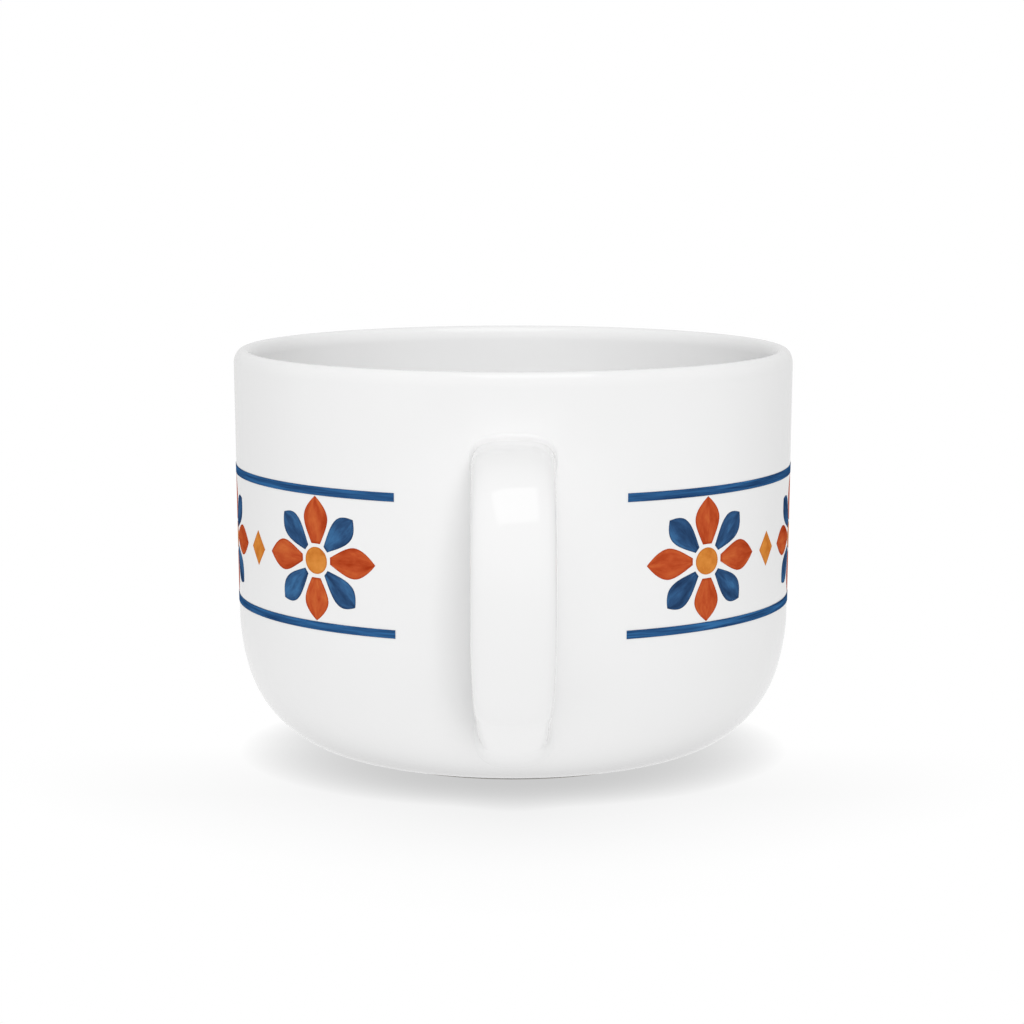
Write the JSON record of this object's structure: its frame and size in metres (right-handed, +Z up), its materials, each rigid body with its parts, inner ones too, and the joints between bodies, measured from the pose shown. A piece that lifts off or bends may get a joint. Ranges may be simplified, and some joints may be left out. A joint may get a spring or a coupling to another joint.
{
  "type": "latte mug",
  "caption": "Low, wide glazed ceramic mug with a rounded base, a strap handle and a printed band of petalled rosettes between blue lines",
  "frame": {"origin": "On the table plane, under the middle of the footprint with the handle included. The bowl's axis stands 16 mm from it along +Y.", "axes": "+Z is up along the bowl's axis, -Y points out through the middle of the handle, and +X is to the right when the handle faces the viewer."},
  "size_m": [0.1016, 0.1336, 0.0742],
  "materials": {
    "white_glaze": "clear gloss glaze over a white clay body",
    "blue_enamel": "brushed blue ceramic enamel, fired to a satin",
    "terracotta_enamel": "brushed terracotta ceramic enamel, fired to a satin",
    "amber_enamel": "brushed amber ceramic enamel, fired to a satin"
  },
  "bodies": {
    "root": {"bowl": "white_glaze", "handle": "white_glaze", "upper_lute": "white_glaze", "lower_lute": "white_glaze"}
  },
  "joints": []
}
